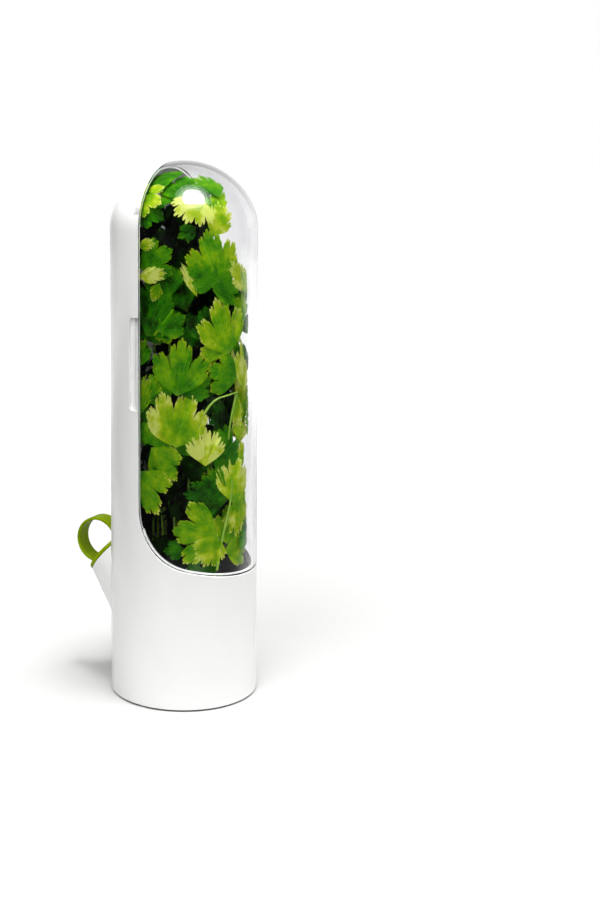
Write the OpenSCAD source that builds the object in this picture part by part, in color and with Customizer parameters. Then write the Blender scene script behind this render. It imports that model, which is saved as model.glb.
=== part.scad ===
// Herb keeper: an upright domed pod with a white housing, a clear front cover that slides up,
// a slotted stem basket standing in a water reservoir, and a stoppered filler spout low on the back.
// Millimetres. +Z is up, the window faces -Y and the spout +Y.
// The origin is the centre of the round foot, on the surface that the pod stands on.

/* [Housing] */
// Outer diameter of the upright tube
body_d = 72; // [70:0.5:76]
// Height from the standing surface to the top of the dome
body_h = 260; // [245:1:290]
// Height of the dome above the straight tube
dome_h = 33; // [31:0.5:35]
// Radius of the arc that turns the tube into the dome
shoulder_r = 28; // [26:0.5:29]
// Thickness of the housing wall
wall_t = 2.8; // [2.6:0.1:3.4]

/* [Window] */
// How far behind the axis the straight edges of the window lie
window_back = 6; // [4:0.5:8]
// Height at which the straight edges run into the scooped lower edge
scoop_z = 96; // [92:1:110]
// Radius of the scoop
scoop_r = 30; // [28:0.5:32]
// Fall of the window sill towards the front, in degrees
sill_fall = 14; // [10:1:16]
// Gap between the housing and the cover all round the window
seam = 0.3; // [0.2:0.05:0.5]
// Height of the inner lip above the window sill
lip_h = 0.7; // [0.5:0.1:2.5]
// Thickness of the inner lip
lip_t = 0.8; // [0.7:0.05:1]
// Height at which the lip ends and the slide grooves start
lip_top_z = 86; // [82:0.5:90]

/* [Cover] */
// Thickness of the clear cover
cover_t = 1.8; // [1.6:0.1:2]
// Thickness of the tongue along each straight edge
tongue_t = 0.6; // [0.5:0.05:0.8]
// How far the tongue reaches into its groove
tongue_reach = 2.5; // [1.5:0.1:3]
// Running clearance between sliding faces
slide_clear = 0.2; // [0.15:0.05:0.25]

/* [Finger recesses] */
// Height of the lower end of each recess
recess_z = 142; // [120:1:160]
// Length of each recess along the window edge
recess_h = 44; // [30:1:50]
// Width of each recess from the window edge
recess_w = 5.5; // [4.5:0.5:7]
// Depth of each recess
recess_depth = 1.4; // [1:0.1:1.6]
// Corner radius of each recess
recess_corner = 2; // [1:0.25:2]

/* [Spout] */
// Rise of the spout's axis above the horizontal, in degrees
spout_rise = 40; // [36:1:44]
// How far the mouth's centre stands out from the tube
mouth_out = 6.5; // [6.5:0.5:12]
// Height of the mouth's centre
mouth_z = 61; // [56:0.5:64]
// Outer radius of the mouth
mouth_r = 11.75; // [11.5:0.25:12]
// Radius of the bore that takes the stopper
bore_r = 10.2; // [9.5:0.1:10.4]
// Length of that bore
bore_len = 10; // [9.5:0.5:12]
// Spread of the spout's wall on each side, in degrees
spout_spread = 17; // [16:1:20]
// Radius of the flare that runs into the tube
flare_r = 20; // [18:1:24]
// Thickness of the spout's wall behind the bore
spout_t = 2.2; // [1.8:0.1:2.6]

/* [Stopper] */
// Thickness of the flange on the mouth
flange_t = 2; // [1.5:0.1:2.5]
// Length of the plug inside the bore
plug_len = 5; // [5:0.25:5.5]
// How far the plug's core is smaller than the bore, in radius
plug_relief = 0.9; // [0.7:0.1:1.2]
// Gap between the stopper and the spout
stopper_clear = 0.15; // [0.1:0.05:0.25]
// Radius of the round sealing ribs
rib_r = 0.75; // [0.6:0.05:0.9]
// Distance between the sealing ribs
rib_pitch = 2.4; // [2:0.1:2.6]
// Distance of the inner rib from the plug's end
rib_in = 1.5; // [1.2:0.1:1.8]
// Inner radius of the pull ring
ring_r = 10.1; // [9:0.1:10.2]
// Thickness of the pull ring's band
ring_t = 1.4; // [1.2:0.1:1.5]
// Width of the pull ring's band
ring_w = 9.5; // [8:0.5:11]
// Height of the pull ring's centre above the flange
ring_lift = 6.6; // [6.5:0.1:8]
// How far the pull ring's centre stands towards the upper side of the flange
ring_offset = 2.2; // [0:0.1:2.2]

/* [Base] */
// Thickness of the soft foot under the housing
foot_h = 0.9; // [0.7:0.1:1.5]
// How far the foot is set in from the housing's outside
foot_inset = 0.7; // [0.5:0.1:1.2]
// Height of the rib that holds the foot in the base plate
foot_rib_h = 1.6; // [1.2:0.1:1.8]
// Width of that rib
foot_rib_w = 1.5; // [1.2:0.1:1.8]
// Distance of that rib from the foot's outer edge
foot_rib_in = 3.4; // [3:0.1:4]
// Thickness of the base plate's floor
plate_t = 2.4; // [2:0.1:3]
// Height of the base plate's thick rim
plate_rim_h = 5.6; // [5.4:0.1:7]
// Width of the base plate's thick rim
plate_rim_w = 4.2; // [4:0.1:5]
// Gap between the base plate and the housing wall
plate_clear = 0.15; // [0.1:0.05:0.2]
// How far the base plate's snap bead stands out
snap_out = 0.6; // [0.4:0.05:0.7]
// Thickness of the O-ring's cord
seal_d = 1.8; // [1.6:0.1:2]
// Slack round the O-ring in its groove
seal_slack = 0.05; // [0.04:0.01:0.08]

/* [Basket] */
// Gap between the basket and the housing wall
basket_gap = 1; // [0.6:0.1:1.4]
// Thickness of the basket's wall
basket_t = 1.4; // [1.2:0.1:1.8]
// Thickness of the basket's floor
basket_floor_t = 1.6; // [1.2:0.1:2.4]
// Height of the basket's floor above its lower edge
basket_stand = 4; // [3:0.5:6]
// Gap under the basket at rest
basket_seat = 0.1; // [0.05:0.05:0.2]
// Height of the basket's rim at the front
rim_front_z = 58.5; // [45:0.5:59]
// Rise of the basket's rim towards the back, in degrees
rim_rise = 26; // [18:1:30]
// Number of water slots round the basket
slot_count = 12; // [8:2:20]
// Width of a water slot
slot_w = 3; // [2:0.25:4]
// Height of a water slot above the floor
slot_h = 16; // [8:1:20]
// Radius of a drain hole in the floor
drain_r = 2.2; // [1.2:0.1:2.6]
// Distance between the rings of drain holes
drain_pitch = 10; // [8:0.25:12]
// Number of rings of drain holes
drain_rings = 2; // [1:1:3]
// Width and height of a water notch in the basket's lower edge
notch = 2.4; // [1.5:0.1:2.6]

/* [Hidden] */
$fn = 96;
eps = 0.02;
// How far a cutting shape runs past what it cuts
cut = 1;
far = 400;

// Housing
body_r = body_d / 2;
inner_r = body_r - wall_t;
spring_z = body_h - dome_h;
shoulder_x = body_r - shoulder_r;
crown_r = (pow(shoulder_x, 2) + pow(dome_h, 2) - pow(shoulder_r, 2)) / (2 * (dome_h - shoulder_r));
crown_z = body_h - crown_r;

// Window, lip and grooves
groove_r1 = inner_r + lip_t;
tongue_r1 = body_r - cover_t + slide_clear / 2;
tongue_r2 = tongue_r1 + tongue_t;
groove_r2 = tongue_r2 + slide_clear;
recess_r = body_r - recess_depth;

// Where the window's edge lies at the lower end of the grooves,
// and the overlap that joins the tongue to the cover
lip_top_y = window_back - scoop_r + sqrt(pow(scoop_r, 2) - pow(scoop_z - lip_top_z, 2));
tongue_root = 1.5;

// The sill's straight line meets the scoop a hair inside its tangent, so that the two cross cleanly
sill_dip = 0.04;
sill_y = window_back - scoop_r + scoop_r * sin(sill_fall);
sill_z = scoop_z - scoop_r * cos(sill_fall) - sill_dip;

// Spout and stopper
mouth_y = body_r + mouth_out;
// The cone is as long as lets the flare sink into the tube a little before the two run parallel
flare_sink = 0.2;
sink_angle = 87;
flare_end = sink_angle - spout_rise;
flare_run = flare_r * (sin(flare_end) - sin(spout_spread));
flare_grow = flare_r * (cos(spout_spread) - cos(flare_end));
cone_len = (mouth_out + flare_sink - cos(spout_rise) * flare_run + sin(spout_rise) * (mouth_r + flare_grow))
    / (cos(spout_rise) - sin(spout_rise) * tan(spout_spread));
cone_end_r = mouth_r + cone_len * tan(spout_spread);
flare_cut = 0.05;
flare_x = cone_end_r + (flare_r - flare_cut) * cos(spout_spread);
flare_z = cone_len - (flare_r - flare_cut) * sin(spout_spread);
flare_len = cone_len + flare_run;
// Behind the bore the throat widens with the spout, until its lower side is just inside the tube
throat_past = 0.25;
throat_r = mouth_r + bore_len * tan(spout_spread) - spout_t / cos(spout_spread);
throat_len = (mouth_y - inner_r + throat_past - cos(spout_rise) * bore_len + sin(spout_rise) * throat_r)
    / (cos(spout_rise) - sin(spout_rise) * tan(spout_spread));
plug_r = bore_r - plug_relief;
flange_edge = 0.45 * flange_t;
ring_mid_r = ring_r + ring_t / 2;

// Base
foot_r = body_r - foot_inset;
foot_rib_r = foot_r - foot_rib_in - foot_rib_w;
plate_r = inner_r - plate_clear;
plate_top = foot_h + plate_t;
rim_top = foot_h + plate_rim_h;
snap_lift = 0.5;
snap_h = 1;
snap_z = foot_h + snap_lift;
seal_down = 0.9;
seal_z = rim_top - seal_down - seal_d / 2;
seal_mid_r = inner_r - seal_slack - seal_d / 2;

// Basket
basket_r = inner_r - basket_gap;
basket_z = rim_top + basket_seat;
floor_z = basket_z + basket_stand;
rim_back_z = rim_front_z + 2 * basket_r * tan(rim_rise);

// Half section of the pod's solid, set in by a distance from its outside
// The two arcs of the dome meet on the line through their centres, which both outlines share
module pod_half(set_in) {
    crown_centre = [0, crown_z];
    on_line = crown_centre + far / crown_r * [shoulder_x, spring_z - crown_z];
    square([body_r - set_in, spring_z]);
    intersection() {
        translate(crown_centre) circle(crown_r - set_in);
        polygon([crown_centre, on_line, [0, on_line.y]]);
    }
    intersection() {
        translate([shoulder_x, spring_z]) circle(shoulder_r - set_in);
        polygon([crown_centre, on_line, [on_line.x, spring_z], [shoulder_x + cut, spring_z]]);
    }
}

module pod_solid(set_in) {
    rotate_extrude() pod_half(set_in);
}

module tube_ring(r1, r2, z1, z2) {
    translate([0, 0, z1]) difference() {
        cylinder(r = r2, h = z2 - z1);
        translate([0, 0, -eps]) cylinder(r = r1, h = z2 - z1 + 2 * eps);
    }
}

// Side view of the space in front of the window's edge, set in by a distance
module window_side(set_in) {
    arc_y = window_back - scoop_r;
    line_y = -body_d;
    rise = set_in / cos(sill_fall);
    translate([line_y, scoop_z]) square([window_back - set_in - line_y, far]);
    translate([arc_y, scoop_z]) circle(scoop_r - set_in);
    polygon([
        [arc_y, scoop_z + eps], [sill_y, sill_z + rise],
        [line_y, sill_z + rise - (sill_y - line_y) * tan(sill_fall)], [line_y, scoop_z + eps]
    ]);
}

module window_space(set_in) {
    rotate([90, 0, 90]) linear_extrude(4 * body_r, center = true) window_side(set_in);
}

// A child drawn on the spout's axis: its origin is the mouth's centre and its +Z points outwards
module on_spout() {
    translate([0, mouth_y, mouth_z]) rotate([spout_rise - 90, 0, 0]) children();
}

module spout_outside() {
    rotate([180, 0, 0]) rotate_extrude() difference() {
        polygon([
            [0, 0], [mouth_r, 0], [cone_end_r, cone_len],
            [cone_end_r + flare_r, flare_len], [0, flare_len]
        ]);
        translate([flare_x, flare_z]) circle(flare_r);
    }
}

module spout_passage() {
    translate([0, 0, -bore_len]) cylinder(r = bore_r, h = bore_len + cut);
    translate([0, 0, -bore_len - throat_len])
        cylinder(r1 = throat_r + throat_len * tan(spout_spread), r2 = throat_r, h = throat_len);
}

module recess_shape() {
    y1 = window_back - recess_w;
    y2 = window_back + recess_w;
    rotate([90, 0, 90]) linear_extrude(4 * body_r, center = true) {
        translate([y1, recess_z]) square([y2 - recess_corner - y1, recess_h]);
        translate([y1, recess_z + recess_corner]) square([y2 - y1, recess_h - 2 * recess_corner]);
        for (z = [recess_z + recess_corner, recess_z + recess_h - recess_corner])
            translate([y2 - recess_corner, z]) circle(recess_corner);
    }
}

module housing() {
    color("white") difference() {
        union() {
            intersection() {
                pod_solid(0);
                translate([-body_d, -body_d, foot_h]) cube([2 * body_d, 2 * body_d, body_h]);
            }
            on_spout() spout_outside();
        }
        // The whole inside
        pod_solid(wall_t);
        on_spout() spout_passage();
        // Where the mouth runs into the tube, the tube makes room for the stopper's flange
        on_spout() cylinder(r = mouth_r + stopper_clear, h = mouth_r);
        // The window: the wall outside the lip, then the wall above the lip, then the rest
        intersection() {
            window_space(0);
            tube_ring(groove_r1, 2 * body_r, foot_h, lip_top_z);
        }
        intersection() {
            window_space(0);
            translate([-body_d, -body_d, lip_top_z]) cube([2 * body_d, 2 * body_d, body_h]);
        }
        window_space(lip_h);
        // Slide grooves, open at the dome
        intersection() {
            tube_ring(groove_r1, groove_r2, lip_top_z, body_h + cut);
            translate([-body_d, lip_top_y - tongue_root, 0])
                cube([2 * body_d, window_back + tongue_reach + seam - lip_top_y + tongue_root, 2 * body_h]);
        }
        // Finger recesses
        intersection() {
            tube_ring(recess_r, 2 * body_r, recess_z - cut, recess_z + recess_h + cut);
            recess_shape();
        }
        // Snap groove for the base plate
        tube_ring(
            inner_r - cut, plate_r + snap_out + plate_clear,
            snap_z - plate_clear, snap_z + snap_h + plate_clear
        );
    }
}

module window_cover() {
    color([0.86, 0.92, 0.93, 0.35]) {
        intersection() {
            difference() {
                pod_solid(0);
                pod_solid(cover_t);
            }
            window_space(seam);
        }
        intersection() {
            tube_ring(tongue_r1, tongue_r2, lip_top_z + seam, body_h);
            translate([-body_d, lip_top_y - tongue_root, 0])
                cube([2 * body_d, window_back + tongue_reach - lip_top_y + tongue_root, body_h]);
            pod_solid(slide_clear);
        }
    }
}

module herb_basket() {
    color([0.8, 0.85, 0.86, 0.5]) difference() {
        translate([0, 0, basket_z]) cylinder(r = basket_r, h = rim_back_z - basket_z + cut);
        // Inside above the floor, and under the floor
        translate([0, 0, floor_z + basket_floor_t]) cylinder(r = basket_r - basket_t, h = far);
        translate([0, 0, basket_z - cut]) cylinder(r = basket_r - basket_t, h = floor_z - basket_z + cut);
        // Slanting rim, low at the front
        translate([0, -basket_r, rim_front_z]) rotate([rim_rise, 0, 0])
            translate([-body_d, -body_d, 0]) cube([2 * body_d, 4 * body_d, body_h]);
        // Water slots in the wall and notches in the lower edge
        for (i = [0 : slot_count / 2 - 1]) rotate([0, 0, (i + 0.5) * 360 / slot_count]) {
            translate([-body_r, -slot_w / 2, floor_z + basket_floor_t]) cube([body_d, slot_w, slot_h]);
            translate([-body_r, -notch / 2, basket_z - cut]) cube([body_d, notch, notch + cut]);
        }
        // Drain holes
        translate([0, 0, floor_z - cut]) {
            cylinder(r = drain_r, h = basket_floor_t + 2 * cut);
            for (ring = [1 : drain_rings], i = [0 : 6 * ring - 1])
                rotate([0, 0, (i + 0.5) * 60 / ring]) translate([ring * drain_pitch, 0, 0])
                    cylinder(r = drain_r, h = basket_floor_t + 2 * cut);
        }
    }
}

module stopper() {
    color("yellowgreen") on_spout() {
        // Plug, sealing ribs and flange in one turned form
        rotate_extrude() {
            translate([0, -plug_len]) square([plug_r, plug_len + flange_t / 2]);
            for (i = [0, 1]) translate([bore_r - stopper_clear - rib_r, -plug_len + rib_in + i * rib_pitch])
                circle(rib_r);
            translate([0, stopper_clear]) square([mouth_r - flange_edge, flange_t]);
            translate([0, stopper_clear + flange_edge])
                square([mouth_r, flange_t - 2 * flange_edge]);
            for (z = [flange_edge, flange_t - flange_edge])
                translate([mouth_r - flange_edge, stopper_clear + z]) circle(flange_edge);
        }
        // Pull ring: a flat band with round edges
        intersection() {
            translate([0, -ring_offset, stopper_clear + flange_t + ring_lift]) rotate([0, 90, 0])
                rotate_extrude() translate([ring_mid_r, 0]) {
                    square([ring_t, ring_w - ring_t], center = true);
                    for (side = [-1, 1]) translate([0, side * (ring_w - ring_t) / 2]) circle(ring_t / 2);
                }
            translate([-body_d, -body_d, stopper_clear + flange_t / 2])
                cube([2 * body_d, 2 * body_d, body_h]);
        }
    }
}

module base_plate() {
    color("gainsboro") rotate_extrude() difference() {
        union() {
            translate([0, foot_h]) square([plate_r, plate_rim_h]);
            translate([0, snap_z]) square([plate_r + snap_out, snap_h]);
        }
        translate([-eps, plate_top]) square([plate_r - plate_rim_w + eps, plate_rim_h]);
        translate([foot_rib_r - seal_slack, 0])
            square([foot_rib_w + 2 * seal_slack, foot_h + foot_rib_h + seal_slack]);
        translate([seal_mid_r - seal_d / 2 - seal_slack, seal_z - seal_d / 2 - seal_slack])
            square([seal_d * 2, seal_d + 2 * seal_slack]);
    }
}

module base_seal() {
    color("dimgray") rotate_extrude() translate([seal_mid_r, seal_z]) circle(seal_d / 2);
}

module foot_pad() {
    color("dimgray") rotate_extrude() {
        square([foot_r, foot_h]);
        translate([foot_rib_r, 0]) square([foot_rib_w, foot_h + foot_rib_h]);
    }
}

housing();
window_cover();
herb_basket();
stopper();
base_plate();
base_seal();
foot_pad();
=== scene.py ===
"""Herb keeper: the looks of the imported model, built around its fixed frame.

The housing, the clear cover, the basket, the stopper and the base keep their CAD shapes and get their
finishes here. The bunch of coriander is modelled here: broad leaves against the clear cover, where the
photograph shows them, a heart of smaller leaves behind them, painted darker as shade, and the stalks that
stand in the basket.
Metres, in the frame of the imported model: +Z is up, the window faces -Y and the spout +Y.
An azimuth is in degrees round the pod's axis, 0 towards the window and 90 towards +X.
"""

from __future__ import annotations

import logging
import math
import random
from collections.abc import Mapping, Sequence
from dataclasses import dataclass, field
from enum import Enum
from typing import Any

import bpy
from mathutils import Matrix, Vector

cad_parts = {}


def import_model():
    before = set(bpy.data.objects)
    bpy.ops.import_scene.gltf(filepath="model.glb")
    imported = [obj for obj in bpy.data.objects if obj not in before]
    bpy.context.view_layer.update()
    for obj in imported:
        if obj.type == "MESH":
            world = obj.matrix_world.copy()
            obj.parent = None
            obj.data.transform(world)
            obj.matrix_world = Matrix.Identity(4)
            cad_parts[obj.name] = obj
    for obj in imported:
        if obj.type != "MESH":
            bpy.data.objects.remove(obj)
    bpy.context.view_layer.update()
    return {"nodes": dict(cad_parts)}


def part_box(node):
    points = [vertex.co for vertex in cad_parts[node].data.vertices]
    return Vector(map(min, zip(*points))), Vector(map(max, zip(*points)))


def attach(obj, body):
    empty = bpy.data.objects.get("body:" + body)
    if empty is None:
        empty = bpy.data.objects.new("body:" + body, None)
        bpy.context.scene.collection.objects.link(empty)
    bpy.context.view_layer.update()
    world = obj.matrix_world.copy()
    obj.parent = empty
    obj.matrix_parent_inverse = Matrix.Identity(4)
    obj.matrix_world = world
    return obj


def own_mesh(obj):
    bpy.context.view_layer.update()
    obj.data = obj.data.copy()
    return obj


LOG = logging.getLogger("herb_keeper")
MM = 0.001
# The azimuth from which the photograph was taken
FACING = -62.8
# The step from one leaf to the next that spreads them evenly, in degrees and as a share of a range
GOLDEN_TURN = 137.5
GOLDEN_SHARE = 0.382


# ---- small tools


def linear(code: str, alpha: float = 1.0) -> tuple[float, float, float, float]:
    """Turns an sRGB hex colour into the linear colour that a shader takes.

    Args:
        code: Six hex digits after a hash.
        alpha: The fourth value of the result.

    Returns:
        Linear red, green and blue, and alpha.
    """
    channels = [int(code[i : i + 2], 16) / 255 for i in (1, 3, 5)]
    red, green, blue = (c / 12.92 if c <= 0.04045 else ((c + 0.055) / 1.055) ** 2.4 for c in channels)
    return red, green, blue, alpha


def add(
    tree: bpy.types.NodeTree,
    kind: str,
    inputs: Mapping[int | str, Any] | Sequence[Any] = (),
    **settings: Any,
) -> bpy.types.Node:
    """Adds a node with its settings, and sets or links its inputs.

    Args:
        tree: The node tree that gets the node.
        kind: The node's type name, without its prefix.
        inputs: Inputs by name or place, or the first ones in order. Each is a value, a socket to link to it,
            or a node, whose first output is linked.
        **settings: The node's own properties.

    Returns:
        The new node.
    """
    node = tree.nodes.new(f"ShaderNode{kind}")
    for name, value in settings.items():
        setattr(node, name, value)
    for name, value in inputs.items() if isinstance(inputs, Mapping) else enumerate(inputs):
        source = value.outputs[0] if isinstance(value, bpy.types.Node) else value
        if isinstance(source, bpy.types.NodeSocket):
            tree.links.new(source, node.inputs[name])
        else:
            node.inputs[name].default_value = source
    return node


def new_material(name: str) -> tuple[bpy.types.Material, bpy.types.NodeTree, bpy.types.NodeSocket]:
    """Starts a material.

    Args:
        name: The material's name.

    Returns:
        The material, its tree, and the socket that gives a place on the object.
    """
    material = bpy.data.materials.new(name)
    material.use_nodes = True
    tree = material.node_tree
    tree.nodes.clear()
    return material, tree, add(tree, "TexCoord").outputs["Object"]


def paint(piece: bpy.types.Object, material: bpy.types.Material) -> None:
    """Gives a piece one material all over.

    Args:
        piece: The object to paint.
        material: Its new material.
    """
    piece.data.materials.clear()
    piece.data.materials.append(material)


def on_azimuth(azimuth: float, radius: float = 1.0, height: float = 0.0) -> Vector:
    """A point at an azimuth in degrees, a distance from the axis and a height."""
    turn = math.radians(azimuth)
    return Vector((radius * math.sin(turn), -radius * math.cos(turn), height))


def between(ends: tuple[float, float], share: float) -> float:
    """The value at a share of the way from the first end to the second."""
    return ends[0] + (ends[1] - ends[0]) * share


# ---- finishes


class Finish:
    """A real finish that can be built as a material."""

    name: str

    def build(self) -> bpy.types.Material:
        """Makes the material."""
        raise NotImplementedError


@dataclass(frozen=True)
class MouldedPlastic(Finish):
    """An opaque injection moulding. Its gloss is a little uneven, from flow in the tool and from handling."""

    name: str
    colour: str
    shade: str = "#E9E9E7"
    roughness: float = 0.16
    sheen: float = 0.5
    ior: float = 1.53
    # What is added to the roughness at both ends of a range of the flow pattern's values
    roughness_spread: tuple[float, float] = (0.0, 0.07)
    flow_range: tuple[float, float] = (0.35, 0.65)
    flow_size: float = 24 * MM
    # The eye sees the waviness of a thin moulded wall only in what it mirrors
    wave_size: float = 18 * MM
    wave_depth: float = 0.02 * MM
    grain_size: float = 0.35 * MM
    grain_depth: float = 0.002 * MM
    grain_detail: float = 2.0

    def build(self) -> bpy.types.Material:
        """Makes the material.

        Returns:
            The material.
        """
        material, tree, where = new_material(self.name)
        flow = add(tree, "TexNoise", {"Vector": where, "Scale": 1 / self.flow_size, "Detail": 3.0})
        wave = add(tree, "TexNoise", {"Vector": where, "Scale": 1 / self.wave_size, "Detail": 0.0})
        grain = add(
            tree,
            "TexNoise",
            {"Vector": where, "Scale": 1 / self.grain_size, "Detail": self.grain_detail},
        )
        tint = add(tree, "Mix", {0: flow, 6: linear(self.colour), 7: linear(self.shade)}, data_type="RGBA")
        roughness = (self.roughness + spread for spread in self.roughness_spread)
        gloss = add(tree, "MapRange", (flow, *self.flow_range, *roughness))
        waves = add(tree, "Bump", {"Height": wave, "Distance": self.wave_depth, "Strength": 1.0})
        surface = add(
            tree, "Bump", {"Height": grain, "Distance": self.grain_depth, "Strength": 1.0, "Normal": waves}
        )
        shader = add(
            tree,
            "BsdfPrincipled",
            {
                "Base Color": tint.outputs[2],
                "Roughness": gloss,
                "IOR": self.ior,
                "Specular IOR Level": self.sheen,
                "Normal": surface,
            },
        )
        add(tree, "OutputMaterial", {"Surface": shader})
        return material


@dataclass(frozen=True)
class Rubber(MouldedPlastic):
    """Moulded silicone or rubber: satin, with a fine matt grain and without waves."""

    roughness: float = 0.4
    ior: float = 1.41
    roughness_spread: tuple[float, float] = (-0.05, 0.08)
    flow_range: tuple[float, float] = (0.0, 1.0)
    flow_size: float = 9 * MM
    wave_depth: float = 0.0
    grain_size: float = 0.5 * MM
    grain_depth: float = 0.012 * MM
    grain_detail: float = 3.0


@dataclass(frozen=True)
class ClearPlastic(Finish):
    """A polished clear moulding. Lamps shine through it, so that what is inside is lit."""

    name: str
    colour: str
    ior: float
    roughness: float = 0.02
    sheen: float = 0.5
    passes: str = "#F6F6F7"
    # Handling leaves smears that are a little duller than the polish
    smear_size: float = 14 * MM
    smear_range: tuple[float, float] = (0.45, 0.75)
    smear_roughness: float = 0.05

    def build(self) -> bpy.types.Material:
        """Makes the material.

        Returns:
            The material.
        """
        material, tree, where = new_material(self.name)
        smear = add(tree, "TexNoise", {"Vector": where, "Scale": 1 / self.smear_size, "Detail": 4.0})
        dullest = self.roughness + self.smear_roughness
        gloss = add(tree, "MapRange", (smear, *self.smear_range, self.roughness, dullest))
        shader = add(
            tree,
            "BsdfPrincipled",
            {
                "Base Color": linear(self.colour),
                "Roughness": gloss,
                "IOR": self.ior,
                "Specular IOR Level": self.sheen,
                "Transmission Weight": 1.0,
            },
        )
        through = add(tree, "BsdfTransparent", {"Color": linear(self.passes)})
        shadow = add(tree, "LightPath").outputs["Is Shadow Ray"]
        both = add(tree, "MixShader", (shadow, shader, through))
        add(tree, "OutputMaterial", {"Surface": both})
        return material


@dataclass(frozen=True)
class LeafSkin(Finish):
    """A fresh coriander blade: waxy, paler along its veins, painted paler along its edge as a highlight, and
    a little see-through.

    Its UV map holds the lobe that a point is in, whole numbers on the lobes' veins, and how far out it is.
    Its attribute "tone" runs from near black, painted shade deep in the bunch, to yellow-green.
    """

    name: str
    # The lowest tones are near black: painted shade for the leaves deep in the bunch and low behind the
    # basket
    tones: tuple[tuple[float, str], ...] = (
        (0.0, "#030602"),
        (0.2, "#0C3001"),
        (0.36, "#1C6801"),
        (0.52, "#3E8E01"),
        (0.66, "#68A602"),
        (0.8, "#94BE06"),
        (0.9, "#BCD026"),
        (1.0, "#DCE870"),
    )
    roughness: float = 0.42
    sheen: float = 0.12
    ior: float = 1.45
    glow: float = 0.28
    vein_colour: str = "#B9D257"
    vein_width: float = 0.012
    vein_share: float = 0.42
    vein_depth: float = 0.15 * MM
    # A lobe's own veins branch off this far out, and nearer to the petiole they are held off this far
    branch_start: float = 0.35
    branch_hold: float = 0.03
    # Side veins leave the main one in a chevron
    side_veins: float = 8.0
    side_slant: float = 2.2
    side_width: float = 0.12
    side_share: float = 0.35
    # The edge is painted paler from here out as a highlight, and lobes are yellower than the blade's middle
    rim_start: float = 0.93
    rim_highlight_gain: float = 0.36
    lobe_start: float = 0.6
    lobe_gain: float = 0.22
    blotch_size: float = 9 * MM
    blotch_range: tuple[float, float] = (0.3, 0.7)
    blotch_gain: float = 0.24
    crinkle_size: float = 1.6 * MM
    crinkle_depth: float = 0.12 * MM

    def build(self) -> bpy.types.Material:
        """Makes the material.

        Returns:
            The material.
        """
        material, tree, where = new_material(self.name)
        polar = add(tree, "SeparateXYZ", (add(tree, "UVMap", uv_map="blade"),))
        lobe, out = polar.outputs["X"], polar.outputs["Y"]
        # How far a point is from its lobe's vein, and from that vein's branches
        off = add(tree, "Math", (lobe, 0.5), operation="PINGPONG")
        past = add(tree, "Math", (off, 0.25), operation="SUBTRACT")
        branch = add(tree, "Math", (past,), operation="ABSOLUTE")
        inner = add(tree, "Math", (out, self.branch_start), operation="LESS_THAN")
        held = add(tree, "Math", (inner, self.branch_hold, branch), operation="MULTIPLY_ADD")
        nearest = add(tree, "Math", (off, held), operation="MINIMUM")
        gap = add(tree, "Math", (nearest, out), operation="MULTIPLY")
        main = add(tree, "MapRange", (gap, 0.0, self.vein_width, 1.0, 0.0), interpolation_type="SMOOTHSTEP")
        slant = add(tree, "Math", (off, -self.side_slant), operation="MULTIPLY")
        rung = add(tree, "Math", (out, self.side_veins, slant), operation="MULTIPLY_ADD")
        side_gap = add(tree, "Math", (rung, 0.5), operation="PINGPONG")
        side = add(
            tree,
            "MapRange",
            (side_gap, 0.0, self.side_width, self.side_share, 0.0),
            interpolation_type="SMOOTHSTEP",
        )
        veins = add(tree, "Math", (main, side), operation="MAXIMUM")
        # The tone, with its blotches, its painted highlight along the rim and its lobes
        rim = add(tree, "MapRange", (out, self.rim_start, 1.0, 0.0, self.rim_highlight_gain))
        blotch = add(
            tree,
            "TexNoise",
            {"Vector": where, "Scale": 1 / self.blotch_size, "Detail": 6.0, "Roughness": 0.62},
        )
        spread = add(tree, "MapRange", (blotch, *self.blotch_range, -self.blotch_gain, self.blotch_gain))
        tone = add(tree, "Attribute", attribute_name="tone").outputs["Fac"]
        blotched = add(tree, "Math", (tone, spread), operation="ADD")
        outer = add(tree, "Math", (out, self.lobe_start), operation="SUBTRACT")
        paler = add(tree, "Math", (outer, self.lobe_gain, rim), operation="MULTIPLY_ADD")
        mixed_tone = add(tree, "Math", (paler, tone, blotched), operation="MULTIPLY_ADD")
        ramp = add(tree, "ValToRGB", (mixed_tone,))
        stops = ramp.color_ramp.elements
        while len(stops) < len(self.tones):
            stops.new(1.0)
        for stop, (place, code) in zip(stops, self.tones, strict=True):
            stop.position = place
            stop.color = linear(code)
        drawn = add(tree, "Math", (veins, self.vein_share), operation="MULTIPLY")
        share = add(tree, "Math", (drawn, tone), operation="MULTIPLY")
        tint = add(tree, "Mix", {0: share, 6: ramp, 7: linear(self.vein_colour)}, data_type="RGBA")
        crinkle = add(tree, "TexNoise", {"Vector": where, "Scale": 1 / self.crinkle_size, "Detail": 2.0})
        crinkled = add(tree, "Bump", {"Height": crinkle, "Distance": self.crinkle_depth, "Strength": 0.8})
        surface = add(
            tree,
            "Bump",
            {"Height": veins, "Distance": self.vein_depth, "Strength": 0.7, "Normal": crinkled},
            invert=True,
        )
        skin = add(
            tree,
            "BsdfPrincipled",
            {
                "Base Color": tint.outputs[2],
                "Roughness": self.roughness,
                "IOR": self.ior,
                "Specular IOR Level": self.sheen,
                "Normal": surface,
            },
        )
        lit_through = add(tree, "BsdfTranslucent", {"Color": tint.outputs[2]})
        both = add(tree, "MixShader", (self.glow, skin, lit_through))
        add(tree, "OutputMaterial", {"Surface": both})
        return material


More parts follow.
